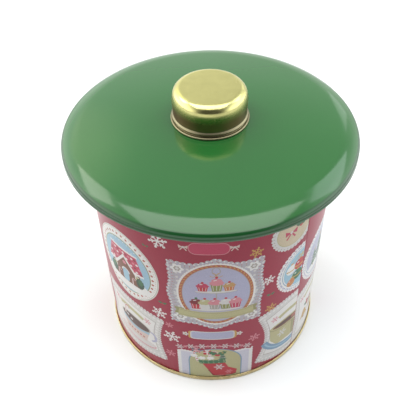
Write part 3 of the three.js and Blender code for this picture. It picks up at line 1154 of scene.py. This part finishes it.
def base_end(material):
    """The base, whose seam swells where it crosses the side seam."""
    line = WALL_RADIUS - SHEET / 2
    foot, head, panel = SHEET / 2, SEAM_HEIGHT - SHEET / 2, 4.2
    corners = [
        (line + LAYER, foot + 2.5 * LAYER),
        (line + LAYER, head, SEAM_BEND),
        (line + 3 * LAYER, head, SEAM_BEND),
        (line + 3 * LAYER, foot, 0.5),
        (line - LAYER, foot, 0.5),
        (line - LAYER, panel, 1),
        (64, panel, 0.8), (62.8, panel + 0.8, 0.8), (59, panel + 0.8, 0.8), (57.8, panel, 0.8),
        (30, panel, 0.8), (28.8, panel + 0.6, 0.8), (0, panel + 0.6),
    ]

    def warp(radius, height, azimuth):
        outer = ramp(radius, line + 2 * LAYER, LAYER)
        off = degrees(off_seam(azimuth)) / 3.2
        lump = outer * cos(off * pi / 2) ** 2 if abs(off) < 1 else 0.0
        uneven = waves(radius, 0, azimuth, 9, 0.06) * outer
        return radius + 0.3 * lump + uneven, height + (uneven - 0.32 * lump) * (height > 2.5)

    turned_piece("base_end", material, "tin", "gold_lacquer", "bottom_end", corners, warp)


def enamelled_shell(material, skirt_material):
    """The lid's outer shell: land, dome, shoulder, tight edge, and a skirt of duller enamel."""
    land, skirt, hem = LAND - SHEET / 2, LID_RADIUS - SHEET / 2, LID_FOOT + SHEET / 2
    dome_from = degrees(acos(ENAMEL_LAND / DOME_RADIUS))
    dome_to = degrees(acos(SHOULDER_START / DOME_RADIUS))
    dome_centre = land - DOME_RADIUS * sin(radians(dome_from))
    edge_from = 90 - SHOULDER_ANGLE
    start, end = radians(dome_to), radians(edge_from)
    reach = skirt - EDGE_BEND + EDGE_BEND * cos(end) - SHOULDER_START
    shoulder = reach / (cos(end) - cos(start))
    shoulder_at = (
        SHOULDER_START - shoulder * cos(start),
        dome_centre + (DOME_RADIUS - shoulder) * sin(start),
    )
    edge_at = (skirt - EDGE_BEND, shoulder_at[1] + (shoulder - EDGE_BEND) * sin(end))
    corners = [
        (2.3, land),
        *swept(0, dome_centre, DOME_RADIUS, DOME_RADIUS, dome_from, dome_to, 0.2),
        *swept(*shoulder_at, shoulder, shoulder, dome_to, edge_from, 1.5)[1:],
        *swept(*edge_at, EDGE_BEND, EDGE_BEND, edge_from, 0, 6)[1:],
        (skirt, hem, 0.5),
        (skirt - 3.9, hem),
    ]

    def warp(radius, height, azimuth):
        out = min(1, radius / 60) if radius > ENAMEL_LAND + 1 else 0.0
        return radius, height + out * waves(radius, 0, azimuth, 31, 0.09) * (height > hem + 3)

    name = "enamelled_shell"
    piece = turned_piece(name, material, "lid", "green_enamel", "lid_shell", corners, warp)
    piece.data.materials.append(skirt_material)
    for face in piece.data.polygons:
        x, y, z = face.center
        if z < edge_at[1] * MM and hypot(x, y) > (LID_RADIUS - 4) * MM:
            face.material_index = 1


def plug_liner(material):
    flange = LINER_HEAD - SHEET / 2
    plug, panel = PLUG_RADIUS - SHEET / 2, PLUG_FOOT + SHEET / 2
    corners = [
        (LINER_RADIUS, flange), (plug, flange, 1), (plug, panel, 1.5),
        (60, panel, 1.2), (58, panel + 1.2, 1.2), (0, panel + 1.2),
    ]
    turned_piece("plug_liner", material, "lid", "tinplate", "lid_liner", corners)


def brass_knob(material):
    """The stamped knob, with the faint dents of its flat top."""
    half = KNOB_SHEET / 2
    side, rim = KNOB_RADIUS - half, FLANGE_RADIUS - half
    head, hem = KNOB_HEAD - half, KNOB_FOOT + half
    flange = hem + 1
    blend, bend_to = radians(KNOB_BLEND), 90 - KNOB_BLEND
    flat = side - KNOB_SHOULDER * sin(blend) - KNOB_SIDE * (1 - sin(blend))
    top = head - KNOB_SHOULDER
    side_at = (side - KNOB_SIDE, top - (KNOB_SIDE - KNOB_SHOULDER) * cos(blend))
    flank = swept(*side_at, KNOB_SIDE, KNOB_SIDE, bend_to, -KNOB_TAPER, 4)
    bead = flange + 1.85
    neck = flank[-1][0] - (flank[-1][1] - bead - 1) * tan(radians(KNOB_TAPER))
    corners = [
        (0, head),
        *swept(flat, top, KNOB_SHOULDER, KNOB_SHOULDER, 90, bend_to, 4),
        *flank[1:],
        (neck, bead + 1, 0.5), (neck + 1, bead, 0.45), (neck, bead - 1, 0.5),
        (neck, flange, 0.35), (rim, flange, 0.4), (rim, hem, 0.4), (rim - 1.55, hem),
    ]

    def warp(radius, height, azimuth):
        high = ramp(height, KNOB_FOOT + 6, 6)
        dent = high * waves(radius, 0, azimuth, 5.5, 0.06)
        return radius + high * waves(radius, height, azimuth, 8, 0.05), height + dent

    fitted = ("lid", "brass_plate", "knob_shell")
    turned_piece("brass_knob", material, *fitted, corners, warp, KNOB_SHEET)


# ---- scene


def floor(material):
    """A wide floor, cut into rings so that it is not one bare face."""
    reaches, sides = (0.0001, 300, 1500, 6000), 48
    verts = [place(reach, -0.2, TURN * i / sides) for i in range(sides) for reach in reaches]
    faces = []
    for i in range(sides):
        for j in range(3):
            a, b = 4 * i + j, 4 * ((i + 1) % sides) + j
            faces.append((a, a + 1, b + 1, b))
    add_mesh("floor", verts, faces, material)


def direction(azimuth, elevation):
    """The unit vector towards an azimuth, from the front towards +X, and an elevation, degrees."""
    a, e = radians(azimuth), radians(elevation)
    return Vector((sin(a) * cos(e), -cos(a) * cos(e), sin(e)))


def softbox(name, azimuth, elevation, across, upright, radiance, colour):
    """A rectangular light aimed at the lid, its place and size in degrees as seen from there."""
    size = [2 * LIGHT_DISTANCE * tan(radians(angle / 2)) for angle in (across, upright)]
    data = bpy.data.lights.new(name, "AREA")
    data.shape = "RECTANGLE"
    data.size, data.size_y = size
    data.energy = radiance * pi * size[0] * size[1]
    data.color = colour
    light = add_object(name, data)
    way = direction(azimuth, elevation)
    light.location = Vector((0, 0, LAND * MM)) + way * LIGHT_DISTANCE
    light.rotation_mode = "QUATERNION"
    light.rotation_quaternion = way.to_track_quat("Z", "Y")


def room():
    """White surroundings: bright behind, warm to the left, dark where the camera stands."""
    w = Nodes("room", bpy.data.worlds, "Generated")
    scene.world = w.owner

    def ease(value, *limits):
        return w.span(value, *limits, interpolation_type="SMOOTHSTEP")

    def towards(azimuth, elevation, *limits):
        """A ramp over the cosine of the angle from a direction."""
        way = direction(azimuth, elevation)
        dot = w.add("VectorMath", w.way, way, operation="DOT_PRODUCT")
        return ease(dot.outputs["Value"], *limits)

    def glow(strength, *colour):
        return w.add("Background", (*colour, 1), strength).outputs[0]

    x, y, z = w.add("SeparateXYZ", w.way).outputs
    behind = w.times(ease(y, -0.5, 0.35, 0.5, 1.15), towards(0, 18, 0.70, 0.92, 1, 0.16))
    sideways = ease(x, -0.6, 0.5, 1, 0.74)
    upward = ease(z, 0.25, 0.65, 1.4, 1)
    walls = glow(w.times(w.times(behind, sideways), upward), 0.97, 0.98, 0.95)
    left = glow(towards(-90, 5, 0.55, 0.95, 0, 1.75), 1, 0.98, 0.93)
    right = glow(towards(90, 2, 0.58, 0.95, 0, 1.9), 0.95, 0.99, 1)
    warm = glow(towards(-146, 36, 0.955, 0.998, 0, 0.9), 1, 0.98, 0.6)
    back, sides = w.add("AddShader", walls, warm), w.add("AddShader", left, right)
    every = w.add("AddShader", back.outputs[0], sides.outputs[0])
    w.fill(w.tree.nodes["World Output"], Surface=every.outputs[0])


def camera():
    data = bpy.data.cameras.new("camera")
    data.lens, data.sensor_width = 51.72, 36
    data.shift_x = -0.0033
    eye = add_object("camera", data)
    eye.location = (0, -0.2725, 0.3630)
    pitch, roll = 0.7913, -0.0137
    aim = Matrix.Rotation(pi / 2 - pitch, 4, "X") @ Matrix.Rotation(roll, 4, "Z")
    eye.rotation_mode = "XYZ"
    eye.rotation_euler = aim.to_euler()
    scene.camera = eye


front_labels()
back_labels(SHEET_START)

gold = lacquered_tin("gold_lacquer", (0.52, 0.42, 0.21, 1), (0.40, 0.31, 0.14, 1))
tinplate = lacquered_tin("tinplate", (0.53, 0.49, 0.40, 1), (0.43, 0.39, 0.31, 1))
zinc = zinc_plate()
printed_wall(printed_varnish(), gold)
base_end(gold)
enamelled_shell(
    green_enamel("green_enamel", (0.10, 0.17), 0.5, 0.15),
    green_enamel("skirt_enamel", (0.36, 0.44), 0.2, 0),
)
plug_liner(tinplate)
brass_knob(pale_brass())
for node in ("knob_nut", "knob_washer", "knob_screw", "knob_base_plate"):
    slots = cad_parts[node].data.materials
    slots.clear()
    slots.append(tinplate if node == "knob_base_plate" else zinc)

floor(pale_floor())
room()
softbox("overhead", 0, 83, 64, 44, 3.2, (1, 1, 0.98))
softbox("left_window", -115, 45, 24, 17, 3.6, (1, 0.98, 0.88))
softbox("right_window", 118, 43, 28, 20, 2.5, (0.88, 0.97, 1))
softbox("back_right", 149, 20, 10, 16, 1, (0.95, 1, 1))
camera()
scene.view_settings.view_transform = "Standard"
